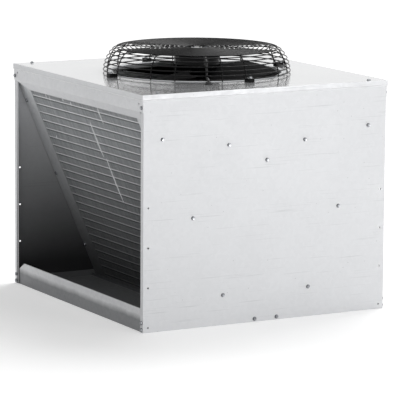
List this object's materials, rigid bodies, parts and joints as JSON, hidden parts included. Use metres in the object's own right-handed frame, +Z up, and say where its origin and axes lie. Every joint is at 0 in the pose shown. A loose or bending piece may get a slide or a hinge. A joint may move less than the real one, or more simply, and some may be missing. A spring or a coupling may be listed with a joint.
{
  "type": "remote condenser",
  "caption": "Remote air-cooled condenser: galvanised cabinet open front and back, two slanted finned coils in a V, and a top axial fan under a wire guard.",
  "frame": {"origin": "middle of the underside of the base pan", "axes": "+Z up, X across the width, Y through the depth, -Y the front intake face"},
  "size_m": [0.7944, 0.7324, 0.6801],
  "materials": {
    "galvanised_sheet": "semi-gloss zinc coating",
    "galvanised_inner": "dull zinc coating",
    "black_enamel": "semi-gloss",
    "fin_aluminium": "mill",
    "copper_tube": "drawn copper",
    "black_rubber": "moulded",
    "gland_plastic": "moulded",
    "lead_sheath": "extruded",
    "terminal_plastic": "moulded",
    "capacitor_can": "moulded",
    "motor_aluminium": "die cast",
    "zinc_plated_steel": "bright zinc plate"
  },
  "bodies": {
    "cabinet": {"base_pan": "galvanised_sheet", "base_channel": "galvanised_inner", "side_panel_left": "galvanised_sheet", "side_panel_right": "galvanised_sheet", "top_panel": "galvanised_sheet", "fan_orifice": "galvanised_inner", "top_rail_front": "galvanised_sheet", "top_rail_back": "galvanised_sheet", "end_baffle_front_left": "galvanised_inner", "end_baffle_front_right": "galvanised_inner", "end_baffle_back_left": "galvanised_inner", "end_baffle_back_right": "galvanised_inner", "side_angles_front": "galvanised_inner", "side_angles_back": "galvanised_inner", "coil_rest_front": "galvanised_inner", "coil_rest_back": "galvanised_inner", "fins_front": "fin_aluminium", "fins_back": "fin_aluminium", "end_plate_front_left": "galvanised_inner", "end_plate_front_right": "galvanised_inner", "end_plate_back_left": "galvanised_inner", "end_plate_back_right": "galvanised_inner", "tubes_front": "copper_tube", "tubes_back": "copper_tube", "return_bends_front": "copper_tube", "return_bends_back": "copper_tube", "gas_header_front": "copper_tube", "gas_header_back": "copper_tube", "liquid_header_front": "copper_tube", "liquid_header_back": "copper_tube", "gas_pipe": "copper_tube", "liquid_pipe": "copper_tube", "panel_grommets": "black_rubber", "guard_top_rings": "black_enamel", "guard_side_rings": "black_enamel", "guard_spokes": "black_enamel", "guard_feet": "black_enamel", "guard_screws": "zinc_plated_steel", "motor_plate": "galvanised_inner", "motor_screws": "zinc_plated_steel", "motor_stator": "motor_aluminium", "motor_bearings": "zinc_plated_steel", "motor_lead": "lead_sheath", "lead_gland": "gland_plastic", "wiring_bracket": "galvanised_inner", "junction_box": "galvanised_sheet", "junction_cover": "galvanised_sheet", "terminal_block": "terminal_plastic", "run_capacitor": "capacitor_can", "capacitor_strap": "galvanised_inner", "wiring_screws": "zinc_plated_steel", "lid_screws": "zinc_plated_steel", "side_screws_right": "zinc_plated_steel", "side_screws_left": "zinc_plated_steel", "post_screws": "zinc_plated_steel", "baffle_screws": "zinc_plated_steel"},
    "fan": {"motor_shaft": "zinc_plated_steel", "rotor_can": "black_enamel", "blade_ring": "black_enamel", "fan_blades": "black_enamel"}
  },
  "joints": [
    {"name": "fan_spin", "type": "hinge", "parent": "cabinet", "child": "fan", "pos_m": [0, 0, 0.612], "axis": [0, 0, 1], "continuous": true}
  ]
}
